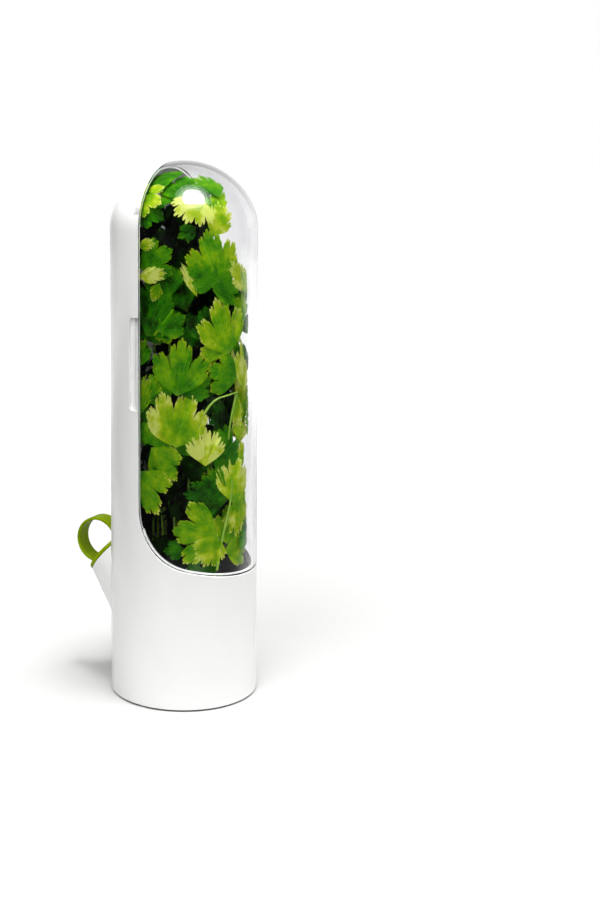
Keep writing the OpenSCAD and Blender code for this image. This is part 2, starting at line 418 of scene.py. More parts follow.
@dataclass(frozen=True)
class StalkSkin(Finish):
    """A juicy coriander stalk: pale green, faintly ribbed along its length."""

    name: str
    colour: str = "#9DC04A"
    shade: str = "#5F9426"
    roughness: float = 0.35
    ior: float = 1.4
    streak_size: float = 3 * MM
    # The pattern is stretched along Z, as the fibres run
    streak_stretch: float = 0.12
    rib_depth: float = 0.1 * MM
    # Light goes a little way into the flesh
    flesh_share: float = 0.2
    flesh_depth: float = 1 * MM

    def build(self) -> bpy.types.Material:
        """Makes the material.

        Returns:
            The material.
        """
        material, tree, where = new_material(self.name)
        fibres = add(tree, "Mapping", {"Vector": where, "Scale": (1.0, 1.0, self.streak_stretch)})
        streak = add(tree, "TexNoise", {"Vector": fibres, "Scale": 1 / self.streak_size, "Detail": 3.0})
        tint = add(tree, "Mix", {0: streak, 6: linear(self.colour), 7: linear(self.shade)}, data_type="RGBA")
        ribs = add(tree, "Bump", {"Height": streak, "Distance": self.rib_depth, "Strength": 0.6})
        shader = add(
            tree,
            "BsdfPrincipled",
            {
                "Base Color": tint.outputs[2],
                "Roughness": self.roughness,
                "IOR": self.ior,
                "Subsurface Weight": self.flesh_share,
                "Subsurface Scale": self.flesh_depth,
                "Normal": ribs,
            },
        )
        add(tree, "OutputMaterial", {"Surface": shader})
        return material


WHITE_ABS = MouldedPlastic("Gloss ABS, injection moulded, white", colour="#F1F1F0")
BASE_ABS = MouldedPlastic(
    "Matt ABS, spark-eroded tool", colour="#DEDEDC", shade="#D4D4D1", roughness=0.45, grain_depth=0.03 * MM
)
CLEAR_SAN = ClearPlastic("Clear SAN, polished tool", colour="#FCFCFD", ior=1.45)
SMOKED_SAN = ClearPlastic("Lightly smoked SAN", colour="#D6D6DA", ior=1.5, sheen=0.25, passes="#D0D0D4")
GREEN_SILICONE = Rubber(
    "Silicone rubber, moulded, yellow-green", colour="#90AA00", shade="#647C00", roughness=0.42, sheen=0.05
)
GREY_TPE = Rubber("Soft foot, grey TPE", colour="#515356", shade="#46484A", roughness=0.6)
BLACK_NITRILE = Rubber("O-ring, black nitrile", colour="#1C1C1D", shade="#232324", roughness=0.45)
LEAF_SKIN = LeafSkin("Coriander blade")
STALK_SKIN = StalkSkin("Coriander stalk")


# ---- the CAD pieces


@dataclass
class MouldedParts:
    """The carried-over CAD pieces, each with its finish."""

    finishes: Mapping[str, Finish] = field(
        default_factory=lambda: {
            "housing": WHITE_ABS,
            "window_cover": CLEAR_SAN,
            "herb_basket": SMOKED_SAN,
            "stopper": GREEN_SILICONE,
            "base_plate": BASE_ABS,
            "base_seal": BLACK_NITRILE,
            "foot_pad": GREY_TPE,
        }
    )

    def dress(self, nodes: Mapping[str, bpy.types.Object]) -> None:
        """Gives each CAD piece its finish.

        Args:
            nodes: The CAD objects by name.
        """
        for name, finish in self.finishes.items():
            paint(nodes[name], finish.build())
            LOG.info("%s is %s", name, finish.name)


# ---- the camera


@dataclass(frozen=True)
class PhotoCamera:
    """The photograph's view of the pod, whose uprights stay nearly upright in it."""

    azimuth: float = FACING
    distance: float = 0.640
    height: float = 0.245
    tilt: float = 4.2
    focal_pixels: float = 1315.0
    # Its width and height in pixels
    frame: tuple[int, int] = (600, 900)
    # The pixel column of the pod's axis, left of the frame's middle
    axis_column: float = 184.0
    # How far the frame's middle lies below the row that the camera looks at, as a share of its height
    shift_down: float = 0.18

    @property
    def place(self) -> Vector:
        """Where the camera stands."""
        return on_azimuth(self.azimuth, self.distance, self.height)

    @property
    def ahead(self) -> Vector:
        """The direction in which it looks."""
        tilt = math.radians(self.tilt)
        return on_azimuth(self.azimuth + 180, math.cos(tilt), -math.sin(tilt))

    def sight(self, pixel: tuple[float, float]) -> Vector:
        """The direction of one pixel's sight line.

        Args:
            pixel: Its column and row.

        Returns:
            The direction, with a length of 1.
        """
        right = self.ahead.cross(Vector((0, 0, 1))).normalized()
        up = right.cross(self.ahead)
        across = (pixel[0] - self.axis_column) / self.focal_pixels
        rise = (self.frame[1] * (0.5 - self.shift_down) - pixel[1]) / self.focal_pixels
        return (self.ahead + right * across + up * rise).normalized()

    def build(self) -> None:
        """Places the camera and makes it the scene's."""
        bpy.ops.object.camera_add(location=self.place)
        camera = bpy.context.active_object
        camera.name = "photo_camera"
        camera.rotation_mode = "QUATERNION"
        camera.rotation_quaternion = self.ahead.to_track_quat("-Z", "Y")
        width, height = self.frame
        camera.data.lens = self.focal_pixels * camera.data.sensor_width / height
        camera.data.shift_x = (width / 2 - self.axis_column) / height
        camera.data.shift_y = -self.shift_down
        bpy.context.scene.camera = camera


# ---- the herbs

# The pod's wall, and the dome's height and shoulder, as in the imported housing
WALL = 2.8 * MM
DOME_RISE = 33 * MM
SHOULDER = 28 * MM


@dataclass
class PodRoom:
    """The room inside the pod: a tube under a dome whose outline is two arcs."""

    tube_radius: float
    spring: float
    shoulder_centre: float
    shoulder_radius: float
    crown_centre: float
    crown_radius: float
    split: float

    @classmethod
    def from_frame(cls) -> PodRoom:
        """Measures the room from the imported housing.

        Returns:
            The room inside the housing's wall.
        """
        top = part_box("housing")[1]
        inset = top.x - SHOULDER
        crown = (inset**2 + DOME_RISE**2 - SHOULDER**2) / (2 * (DOME_RISE - SHOULDER))
        spring, crown_centre = top.z - DOME_RISE, top.z - crown
        return cls(
            tube_radius=top.x - WALL,
            spring=spring,
            shoulder_centre=inset,
            shoulder_radius=SHOULDER - WALL,
            crown_centre=crown_centre,
            crown_radius=crown - WALL,
            split=math.atan2(spring - crown_centre, inset),
        )

    def wall(self, run: float) -> tuple[float, float, float]:
        """Where the wall is after a run up the tube and over the dome.

        Args:
            run: The distance along the wall from the standing surface.

        Returns:
            Distance from the axis, height, and the wall's slope from upright in radians.
        """
        if run <= self.spring:
            return self.tube_radius, run, 0.0
        over = run - self.spring
        if over < self.shoulder_radius * self.split:
            slope = over / self.shoulder_radius
            out, rise = self.shoulder_radius * math.cos(slope), self.shoulder_radius * math.sin(slope)
            return self.shoulder_centre + out, self.spring + rise, slope
        slope = self.split + (over - self.shoulder_radius * self.split) / self.crown_radius
        out, rise = self.crown_radius * math.cos(slope), self.crown_radius * math.sin(slope)
        return out, self.crown_centre + rise, slope

    def along_wall(self, point: Vector) -> tuple[float, float]:
        """A point's place on the wall beside it.

        Args:
            point: The point.

        Returns:
            Its azimuth in degrees, and the run up the wall to it.
        """
        flat = math.hypot(point.x, point.y)
        azimuth = math.degrees(math.atan2(point.x, -point.y))
        if point.z <= self.spring:
            return azimuth, point.z
        slope = math.atan2(point.z - self.spring, flat - self.shoulder_centre)
        if slope < self.split:
            return azimuth, self.spring + slope * self.shoulder_radius
        slope = math.atan2(point.z - self.crown_centre, flat)
        crown_start = self.spring + self.split * self.shoulder_radius
        return azimuth, crown_start + (slope - self.split) * self.crown_radius

    def meet(self, eye: Vector, way: Vector, gap: float) -> Vector:
        """Where a sight line first comes a gap inside the wall.

        Args:
            eye: Where the line starts.
            way: Its direction, with a length of 1.
            gap: The distance from the wall.

        Returns:
            The point. A line that passes the room by gives its point nearest to the axis, moved inside.
        """
        nearest = -eye.xy.dot(way.xy) / way.xy.length_squared
        # In small steps, from a little outside the tube to the point nearest to the axis
        step, start = 0.2 * MM, 1.1 * self.tube_radius
        for index in range(math.ceil(start / step), 0, -1):
            point = eye + way * (nearest - index * step)
            if self.press(point, gap) is point:
                return point
        return self.press(eye + way * nearest, gap)

    def press(self, point: Vector, gap: float) -> Vector:
        """Moves a point that is too near the wall, or outside it, to a gap inside it.

        Args:
            point: The point.
            gap: The least distance from the wall.

        Returns:
            The point, moved only if it has to be.
        """
        flat = math.hypot(point.x, point.y)
        if point.z <= self.spring:
            centre, reach, rise = 0.0, self.tube_radius - gap, 0.0
        elif math.atan2(point.z - self.crown_centre, flat) < self.split:
            centre, reach, rise = self.shoulder_centre, self.shoulder_radius - gap, point.z - self.spring
        else:
            centre, reach, rise = 0.0, self.crown_radius - gap, point.z - self.crown_centre
        away = math.hypot(flat - centre, rise)
        if away <= reach or flat < centre:
            return point
        share = reach / away
        inner = (centre + (flat - centre) * share) / flat
        return Vector((point.x * inner, point.y * inner, point.z - rise * (1 - share)))


@dataclass(frozen=True)
class BladeForm:
    """A coriander blade's outline: a fan of lobes with smaller lobes on them, and teeth round the edge."""

    name: str
    half_turn: float = 62.0
    lobe_pitch: float = 41.3
    lobe_depth: float = 0.30
    part_depth: float = 0.13
    tooth_depth: float = 0.065
    # How much shorter the blade is at its sides
    side_fall: float = 0.24
    # Smaller is rounder
    lobe_point: float = 0.5
    tooth_point: float = 0.6
    # Smaller lobes on each lobe, and teeth on each of those
    parts: int = 3
    teeth: int = 3
    # Even, so that the notch between two teeth gets a point
    steps: int = 4
    # How far out the rows of points lie, from the edge to the petiole
    rows: tuple[float, ...] = (1.0, 0.94, 0.84, 0.66, 0.40, 0.0)

    @property
    def columns(self) -> int:
        """How many faces the edge has."""
        return round(2 * self.half_turn / self.lobe_pitch * self.parts * self.teeth * self.steps)

    def edge(self, heading: float, out: float) -> float:
        """The edge's distance from the petiole, as a share of the blade's reach.

        Args:
            heading: Degrees off the tip's direction.
            out: How far out the row is. The notches and teeth fade towards the petiole.

        Returns:
            The distance, up to about 1.
        """

        def dip(pitch: float, point: float) -> float:
            """0 in the middle of each part of that pitch and 1 between two."""
            return 1 - abs(math.cos(math.pi * heading / pitch)) ** point

        fine = out**3
        part_pitch = self.lobe_pitch / self.parts
        fall = 1 - self.side_fall * (abs(heading) / self.half_turn) ** 2
        lobe = 1 - self.lobe_depth * out * dip(self.lobe_pitch, self.lobe_point)
        part = 1 - self.part_depth * fine * dip(part_pitch, self.lobe_point)
        tooth = 1 - self.tooth_depth * fine * dip(part_pitch / self.teeth, self.tooth_point)
        return fall * lobe * part * tooth


class Blade(Enum):
    """The blades that the bunch is made of."""

    BROAD = BladeForm("broad")
    DEEP = BladeForm("deep", half_turn=66, lobe_pitch=44, lobe_depth=0.42, part_depth=0.16)
    FAN = BladeForm("fan", half_turn=60, lobe_pitch=24, lobe_depth=0.2, part_depth=0.09, teeth=1)
    SMALL = BladeForm("small", teeth=1, steps=2, part_depth=0.16, rows=(1.0, 0.6, 0.0))


@dataclass(frozen=True)
class LeafPlace:
    """Where one leaf lies. Sizes are in millimetres.

    The run goes up the wall from the standing surface to the petiole's joint. The turn is clockwise from
    upright, as seen from outside. The depth is how far inside the wall the leaf stays. The width is a share
    of the blade's own. The lean tips the blade's end inwards, the cup bends it, and the ruffle waves it.
    """

    azimuth: float
    run: float
    turn: float
    reach: float
    tone: float
    depth: float = 1.0
    width: float = 1.0
    blade: Blade = Blade.BROAD
    lean: float = 0.0
    cup: float = 1.2
    ruffle: float = 0.9


@dataclass(frozen=True)
class ShownLeaf:
    """A leaf that shows in the photograph, by the pixels of its petiole's joint and of its tip.

    Its other values are those of its place.
    """

    joint: tuple[float, float]
    tip: tuple[float, float]
    tone: float
    depth: float = 1.0
    width: float = 1.0
    blade: Blade = Blade.BROAD
    cup: float = 1.2
    ruffle: float = 0.9

    def on_wall(self, room: PodRoom, camera: PhotoCamera) -> LeafPlace:
        """Finds the leaf's place on the wall behind its pixels.

        Args:
            room: The room that the leaf lies in.
            camera: The photograph's camera.

        Returns:
            The place.
        """
        joint, tip = (
            room.meet(camera.place, camera.sight(pixel), self.depth * MM) for pixel in (self.joint, self.tip)
        )
        azimuth, run = room.along_wall(joint)
        tip_azimuth, tip_run = room.along_wall(tip)
        radius = (math.hypot(joint.x, joint.y) + math.hypot(tip.x, tip.y)) / 2
        across = math.radians(tip_azimuth - azimuth) * radius
        rise = tip_run - run
        return LeafPlace(
            azimuth=azimuth,
            run=run / MM,
            turn=math.degrees(math.atan2(across, rise)),
            reach=math.hypot(across, rise) / MM,
            **{name: getattr(self, name) for name in ("tone", "depth", "width", "blade", "cup", "ruffle")},
        )


# The leaves that show in the photograph, from the top down: the pixels of the joint and the tip, then the
# tone, depth, width, blade, cup and ruffle. The tone holds a leaf's own colour and painted shade: deeper
# leaves are darker
SHOWN_LEAVES = tuple(
    ShownLeaf(*row)
    for row in (
        # In the dome
        ((199, 196), (182, 224), 0.90, 1.0, 1.05, Blade.FAN),
        ((139, 197), (167, 199), 0.74, 1.6, 0.90),
        ((141, 206), (169, 216), 0.38, 3.2, 0.80),
        ((176, 203), (163, 190), 0.40, 4.0, 0.80),
        ((218, 198), (199, 176), 0.48, 1.6, 0.80, Blade.FAN),
        ((214, 216), (217, 186), 0.66, 2.4, 0.35, Blade.FAN),
        ((211, 222), (207, 197), 0.58, 3.4, 0.70),
        ((161, 193), (171, 169), 0.50, 1.4, 0.90, Blade.FAN),
        ((186, 204), (185, 177), 0.46, 3.2, 1.00),
        ((146, 197), (156, 177), 0.46, 2.2, 1.00),
        ((210, 236), (226, 204), 0.80, 1.8, 0.60, Blade.FAN),
        ((196, 227), (178, 237), 0.36, 3.4, 0.70),
        # Down to the upper half of the tube
        ((220, 291), (207, 229), 0.66, 1.2, 0.78),
        ((219, 281), (185, 267), 0.52, 0.8, 0.85),
        ((212, 290), (240, 285), 0.46, 1.0, 0.80),
        ((245, 292), (229, 260), 0.90, 0.8, 0.45, Blade.FAN),
        ((246, 296), (242, 262), 0.84, 2.0, 0.50, Blade.FAN),
        ((243, 322), (242, 287), 0.72, 2.6, 0.70),
        ((141, 269), (176, 249), 0.50, 2.4, 0.80),
        ((139, 246), (156, 243), 0.84, 1.6, 0.50, Blade.FAN),
        ((139, 277), (169, 273), 0.92, 1.0, 0.40, Blade.FAN),
        ((160, 283), (152, 302), 0.86, 1.2, 0.55, Blade.FAN),
        ((197, 297), (181, 262), 0.97, 0.6, 0.20, Blade.FAN),
        ((147, 336), (172, 294), 0.34, 1.6, 1.00),
        ((158, 331), (186, 315), 0.56, 1.0, 0.80),
        ((139, 342), (142, 286), 0.26, 2.8, 0.70),
        ((187, 312), (172, 265), 0.28, 5.5, 0.50),
        ((228, 354), (216, 297), 0.72, 0.8, 0.82, Blade.DEEP),
        ((227, 354), (199, 333), 0.66, 1.2, 0.75),
        ((244, 392), (241, 335), 0.84, 1.8, 0.50),
        ((197, 348), (190, 312), 0.24, 5.5, 0.80),
        ((160, 345), (151, 302), 0.30, 3.5, 1.00),
        ((166, 300), (158, 262), 0.42, 3.2, 0.90),
        ((205, 346), (206, 306), 0.30, 4.2, 0.80),
        # Round its middle
        ((201, 400), (207, 372), 0.34, 3.4, 0.90),
        ((166, 405), (150, 374), 0.44, 2.8, 0.90),
        ((150, 442), (145, 405), 0.36, 3.0, 0.90),
        ((191, 456), (181, 430), 0.40, 3.2, 0.90),
        ((215, 470), (231, 447), 0.48, 3.0, 1.00),
        ((177, 396), (182.5, 337.5), 0.60, 0.7, 0.80, Blade.DEEP),
        ((180, 394), (211, 377), 0.46, 1.7, 0.75),
        ((165, 324), (168, 345), 0.60, 1.4, 1.00),
        ((140, 367), (144, 338), 0.50, 2.0, 0.60),
        ((150, 398), (154, 377), 0.50, 2.4, 0.80),
        ((141, 415), (145, 374), 0.66, 1.0, 0.35, Blade.FAN),
        ((236, 379), (204.5, 368), 0.60, 0.9, 0.85),
        ((171, 446), (161, 391), 0.80, 0.9, 0.66),
        ((175, 448), (190, 392), 0.76, 0.7, 0.80),
        ((166, 449), (156, 409), 0.54, 1.8, 1.10),
        ((138, 424), (143, 446), 0.50, 1.2, 0.80),
        ((205, 466), (207, 428), 1.00, 0.6, 0.88, Blade.FAN),
        ((222, 462), (239, 439), 0.44, 2.6, 0.80),
        ((232, 446), (213, 431), 0.42, 2.8, 0.80),
        ((237, 395), (236, 437), 0.86, 1.2, 0.30, Blade.FAN),
        ((244, 398), (243, 426), 0.70, 2.2, 0.50),
        ((231, 428), (245, 432), 0.80, 1.6, 0.50, Blade.FAN),
        # Down to the rim
        ((216, 500), (222, 467), 0.46, 2.6, 1.00),
        ((239, 470), (242, 438), 0.72, 2.8, 0.70),
        ((240, 520), (243, 484), 0.76, 3.0, 0.80),
        ((171, 478), (160, 455), 0.42, 2.6, 0.90),
        ((232, 503), (236, 453), 0.88, 1.2, 0.80),
        ((230, 501), (246, 478), 0.90, 2.0, 0.60),
        ((137, 471), (160, 515), 0.62, 0.9, 1.00, Blade.DEEP),
        ((152, 447), (178, 481), 0.66, 1.2, 0.80),
        ((227, 500), (177, 493), 0.34, 1.3, 0.60, Blade.FAN),
        ((228, 499), (208, 468), 0.42, 1.9, 0.55, Blade.FAN),
        ((217, 533), (165, 530), 0.70, 0.8, 0.95, Blade.DEEP, 0.2, 0.3),
        ((216, 534), (203, 567), 0.76, 0.6, 0.90, Blade.FAN, 0.0, 0.1),
        ((236, 496), (236, 537), 0.86, 1.0, 0.60, Blade.FAN),
        ((241, 497), (245, 536), 0.80, 2.2, 0.50),
        ((216, 546), (209, 527), 0.84, 1.6, 0.40, Blade.FAN),
        ((226, 544), (228, 505), 0.66, 2.8, 0.70),
        ((238, 532), (241, 508), 0.72, 3.4, 0.70),
        ((224, 549), (246, 542), 0.74, 3.0, 0.60),
        ((223, 521), (197, 515), 0.28, 5.5, 0.80),
        ((185, 549), (164, 551), 0.32, 3.4, 0.80),
        ((215, 573), (194, 560), 0.42, 3.8, 1.00),
        ((190, 572), (206, 552), 0.36, 4.0, 0.90),
    )
)


@dataclass
class Bunch:
    """A bunch of coriander that stands in the basket and fills the pod."""

    room: PodRoom
    camera: PhotoCamera
    body: str = "basket"
    joint: str = "basket_lift"
    keep: float = 0.715
    seed: int = 11
    # Leaves that the photograph doesn't show. They stand between these azimuths, and between these runs up
    # the wall in millimetres
    side_leaves: int = 18
    side_azimuths: tuple[float, float] = (30, 106)
    side_runs: tuple[float, float] = (72, 202)
    # Leaves that line the low part of the wall behind the basket, painted near black as shade
    low_leaves: int = 44
    low_azimuths: tuple[float, float] = (96, 220)
    low_runs: tuple[float, float] = (24, 86)
    heart_leaves: int = 200
    heart_runs: tuple[float, float] = (44, 244)
    # How far inside the wall they start in millimetres, how much painted shade each metre of that adds,
    # darkening their tone, and how far they stay inside the outline
    heart_depths: tuple[float, ...] = (4, 7, 10, 14, 19, 24)
    heart_painted_shade: float = 16
    heart_inset: float = 6 * MM
    # So far outside the outline that it holds nothing back
    no_inset: float = -20 * MM
    # What is taken back of a point's way past the outline
    outline_pull: float = 0.85
    # Each lobe is folded a little along its vein
    fold: float = 0.7 * MM
    stalks: int = 26
    stalk_radius: float = 0.75 * MM
    stalk_taper: float = 0.45
    # How far a stalk stays inside the wall
    stalk_gap: float = 3.5 * MM
    # Where the stalks stand on the basket's floor: distances from the axis in millimetres, and the height
    foot_radii: tuple[float, float] = (3, 16)
    floor: float = 12.6 * MM
    # The bunch's outline on its free side: heights, and distances from the pod's axis
    outline: tuple[tuple[float, float], ...] = (
        (0.0, 0.0200),
        (0.066, 0.0200),
        (0.074, 0.0315),
        (0.195, 0.0315),
        (0.209, 0.0300),
        (0.215, 0.0240),
        (0.224, 0.0210),
        (0.240, 0.0175),
        (0.260, 0.0170),
    )

    def gather(self, point: Vector, gap: float, inset: float) -> Vector:
        """Keeps a point in the pod, and in the bunch's outline on the side that the bunch leans away from.

        Args:
            point: The point.
            gap: Its least distance from the wall.
            inset: Its least distance inside the outline.

        Returns:
            The point, moved only if it has to be.
        """
        point = self.room.press(point, gap)
        free_side = on_azimuth(FACING + 90)
        out = point.dot(free_side)
        limit = self.outline[-1][1]
        for (low, low_out), (high, high_out) in zip(self.outline, self.outline[1:], strict=False):
            if low <= point.z < high:
                limit = low_out + (high_out - low_out) * (point.z - low) / (high - low)
        past = out - limit + inset
        return point if past <= 0 else point - free_side * past * self.outline_pull

    def blank(self, form: BladeForm) -> bpy.types.Object:
        """Models one flat blade of reach 1 with its petiole at the origin and its tip towards +Y.

        Args:
            form: The blade's outline.

        Returns:
            The blade, with its UV map.
        """
        bpy.ops.object.select_all(action="DESELECT")
        gaps = len(form.rows) - 1
        bpy.ops.mesh.primitive_grid_add(x_subdivisions=form.columns, y_subdivisions=gaps, size=2)
        blade = bpy.context.active_object
        blade.name = f"blade_{form.name}"
        mesh = blade.data
        polar = []
        for vertex in mesh.vertices:
            row = round((1 - vertex.co.y) / 2 * gaps)
            heading, out = vertex.co.x * form.half_turn, form.rows[row]
            polar.append((heading / form.lobe_pitch, out))
            edge, turn = form.edge(heading, out), math.radians(heading)
            vertex.co = (out * edge * math.sin(turn), out * edge * math.cos(turn), 0.0)
        layer = mesh.uv_layers.new(name="blade") if not mesh.uv_layers else mesh.uv_layers[0]
        layer.name = "blade"
        for loop in mesh.loops:
            layer.data[loop.index].uv = polar[loop.vertex_index]
        mesh.attributes.new("tone", "FLOAT", "POINT")
        # The last row is the petiole's joint, one point
        bpy.ops.object.mode_set(mode="EDIT")
        bpy.ops.mesh.select_all(action="SELECT")
        bpy.ops.mesh.remove_doubles(threshold=1e-4)
        bpy.ops.object.mode_set(mode="OBJECT")
        return blade

    def grow(
        self,
        blank: bpy.types.Object,
        place: LeafPlace,
        draw: random.Random,
        inward: float = 0.0,
        inset: float = 0.0,
    ) -> bpy.types.Object:
        """Copies a blade to its place, gives it its waves and presses it inside the pod.

        Args:
            blank: The flat blade.
            place: Where the leaf lies.
            draw: The source of its small differences.
            inward: How far the leaf's joint lies inside the wall, beyond its depth, in metres.
            inset: How far the leaf stays inside the bunch's outline on the free side, in metres.

        Returns:
            The leaf.
        """
        leaf = bpy.data.objects.new("leaf", blank.data.copy())
        bpy.context.scene.collection.objects.link(leaf)
        reach, gap = place.reach * MM, place.depth * MM
        radius, height, slope = self.room.wall(place.run * MM)
        joint = on_azimuth(place.azimuth)
        outward = joint * math.cos(slope) + Vector((0, 0, math.sin(slope)))
        up = joint * -math.sin(slope) + Vector((0, 0, math.cos(slope)))
        right = up.cross(outward)
        origin = joint * radius + Vector((0, 0, height)) - outward * (gap + inward)
        turn, lean = math.radians(place.turn), math.radians(place.lean)
        tip = up * math.cos(turn) + right * math.sin(turn)
        side = right * math.cos(turn) - up * math.sin(turn)
        tip_leant = tip * math.cos(lean) - outward * math.sin(lean)
        face = outward * math.cos(lean) + tip * math.sin(lean)
        form = place.blade.value
        phase, waves = draw.uniform(0, math.tau), draw.choice((3, 4, 5))
        roll = draw.uniform(-0.125, 0.125)
        for vertex in leaf.data.vertices:
            x, y = vertex.co.x, vertex.co.y
            out = math.hypot(x, y)
            heading = math.atan2(x, y)
            wave = place.ruffle * MM * out**2 * math.sin(waves * heading + phase)
            fold = -self.fold * out * math.cos(math.tau * math.degrees(heading) / form.lobe_pitch)
            bend = -place.cup * MM * out**2 + roll * x * reach
            flat = origin + side * (x * reach * place.width) + tip_leant * (y * reach)
            vertex.co = self.gather(flat + face * (bend + wave + fold), gap, inset)
        tone = leaf.data.attributes["tone"].data
        base = place.tone + draw.uniform(-0.04, 0.04)
        tone.foreach_set("value", [base] * len(leaf.data.vertices))
        leaf.data.update()
        return leaf

    def join(self, parts: Sequence[bpy.types.Object], name: str, finish: Finish) -> bpy.types.Object:
        """Joins parts into one named piece and gives it its finish.

        Args:
            parts: The objects to join.
            name: The piece's name.
            finish: Its finish.

        Returns:
            The piece, with its place in its mesh.
        """
        bpy.ops.object.select_all(action="DESELECT")
        for part in parts:
            part.select_set(True)
        bpy.context.view_layer.objects.active = parts[0]
        bpy.ops.object.join()
        piece = bpy.context.active_object
        piece.name = piece.data.name = name
        bpy.ops.object.transform_apply(location=True, rotation=True, scale=True)
        bpy.ops.object.shade_smooth()
        paint(piece, finish.build())
        return piece

    def side_places(self, draw: random.Random) -> list[LeafPlace]:
        """Finds places against the rest of the cover, where the photograph doesn't look.

        Args:
            draw: The source of the leaves' differences.

        Returns:
            The places.
        """
        places = []
        for index in range(self.side_leaves):
            share = (index + 0.5) / self.side_leaves
            places.append(
                LeafPlace(
                    azimuth=between(self.side_azimuths, (index * GOLDEN_SHARE) % 1),
                    run=between(self.side_runs, share),
                    turn=draw.uniform(-70, 70),
                    reach=draw.uniform(17, 29),
                    tone=draw.uniform(0.35, 0.9),
                    depth=draw.uniform(0.8, 3.0),
                    lean=draw.uniform(-5, 12),
                    blade=draw.choice((Blade.BROAD, Blade.DEEP, Blade.FAN)),
                )
            )
        return places

    def leaves(self) -> bpy.types.Object:
        """Models the leaves that lie against the cover.

        Returns:
            The leaves, as one piece.
        """
        draw = random.Random(self.seed)
        blanks = {blade: self.blank(blade.value) for blade in (Blade.BROAD, Blade.DEEP, Blade.FAN)}
        # The shown leaves make the outline, so that it doesn't hold them back
        shown = [leaf.on_wall(self.room, self.camera) for leaf in SHOWN_LEAVES]
        parts = [self.grow(blanks[place.blade], place, draw, inset=self.no_inset) for place in shown]
        parts += [self.grow(blanks[place.blade], place, draw) for place in self.side_places(draw)]
        for blank in blanks.values():
            bpy.data.objects.remove(blank)
        return self.join(parts, "coriander_leaves", LEAF_SKIN)

    def heart(self) -> bpy.types.Object:
        """Models the smaller leaves that fill the pod behind the others, painted darker as shade.

        Returns:
            The leaves, as one piece.
        """
        draw = random.Random(self.seed + 1)
        blank = self.blank(Blade.SMALL.value)
        parts = []
        for index in range(self.low_leaves):
            place = LeafPlace(
                azimuth=between(self.low_azimuths, (index * GOLDEN_SHARE) % 1),
                run=between(self.low_runs, (index + 0.5) / self.low_leaves),
                turn=draw.uniform(-40, 40),
                reach=draw.uniform(15, 20),
                # Near black: painted shade low behind the basket
                tone=draw.uniform(0.0, 0.04),
                depth=draw.uniform(3.2, 6),
                blade=Blade.SMALL,
                lean=draw.uniform(-12, 12),
            )
            parts.append(self.grow(blank, place, draw, inset=self.heart_inset))
        for index in range(self.heart_leaves):
            inward = draw.choice(self.heart_depths) * MM
            place = LeafPlace(
                azimuth=(index * GOLDEN_TURN) % 360,
                run=between(self.heart_runs, (index + 0.5) / self.heart_leaves),
                turn=draw.uniform(-180, 180),
                reach=draw.uniform(13, 21),
                # Painted shade: the deeper a leaf starts, the darker its tone
                tone=max(0.0, draw.uniform(0.0, 0.28) - inward * self.heart_painted_shade),
                depth=3.2,
                blade=Blade.SMALL,
                lean=draw.uniform(-50, 50),
                cup=2.0,
                ruffle=2.0,
            )
            parts.append(self.grow(blank, place, draw, inward, self.heart_inset))
        bpy.data.objects.remove(blank)
        return self.join(parts, "coriander_heart", LEAF_SKIN)

    def stalk(self, points: Sequence[Vector], radius: float) -> bpy.types.Object:
        """Models one tapering stalk through a few points.

        Args:
            points: The points from its cut end to its tip.
            radius: Its radius at the cut end.

        Returns:
            The stalk, as a mesh.
        """
        bpy.ops.object.select_all(action="DESELECT")
        bpy.ops.curve.primitive_nurbs_path_add()
        stalk = bpy.context.active_object
        curve = stalk.data
        curve.splines.clear()
        spline = curve.splines.new("NURBS")
        spline.points.add(len(points) - 1)
        for index, point in enumerate(points):
            spline.points[index].co = (*point, 1.0)
            spline.points[index].radius = 1 - self.stalk_taper * index / (len(points) - 1)
        spline.use_endpoint_u = True
        spline.order_u = 3
        spline.resolution_u = 4
        curve.bevel_depth = radius
        curve.bevel_resolution = 1
        curve.use_fill_caps = True
        bpy.ops.object.convert(target="MESH")
        return bpy.context.active_object

    def stem_set(self) -> bpy.types.Object:
        """Models the stalks, from the basket's floor to the leaves.

        Returns:
            The stalks, as one piece.
        """
        draw = random.Random(self.seed + 2)
        parts = []
        for index in range(self.stalks):
            azimuth = (index * GOLDEN_TURN + 20) % 360
            foot_radius = between(self.foot_radii, math.sqrt((index + 0.5) / self.stalks))
            foot = on_azimuth(azimuth, foot_radius * MM, self.floor)
            end_run = draw.uniform(0.09, 0.235)
            radius, height, _ = self.room.wall(end_run)
            end = on_azimuth(azimuth + draw.uniform(-40, 40), radius - draw.uniform(12, 24) * MM, height)
            rise = Vector((0, 0, end.z - foot.z))
            sway = Vector((draw.uniform(-4, 4), draw.uniform(-4, 4), 0)) * MM
            points = [foot, foot + rise * 0.3, foot.lerp(end, 0.35) + rise * 0.3 + sway, end]
            inside = [self.room.press(point, self.stalk_gap) for point in points]
            parts.append(self.stalk(inside, self.stalk_radius))
        for azimuths, heights, depth in SHOWN_STALKS:
            points = [
                on_azimuth(azimuth, self.room.tube_radius - depth * MM, height * MM)
                for azimuth, height in zip(azimuths, heights, strict=True)
            ]
            parts.append(self.stalk(points, self.stalk_radius * 0.9))
        return self.join(parts, "coriander_stalks", STALK_SKIN)

    def build(self) -> None:
        """Models the bunch and lets it ride on the basket."""
        for piece in (self.leaves(), self.heart(), self.stem_set()):
            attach(piece, self.body)
            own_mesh(piece)
            LOG.info("%s has %d faces", piece.name, len(piece.data.polygons))


# Stalks that show in the photograph: azimuths, heights and distance inside the wall in millimetres
SHOWN_STALKS = (
    ((-34, -30, -24, -19, -18), (66, 78, 90, 99, 108), 1.4),
    ((-52, -46, -36, -24, -12), (134, 142, 148, 149, 150), 1.2),
    ((-12, -16, -20, -22), (150, 143, 136, 128), 1.6),
)


# ---- the studio


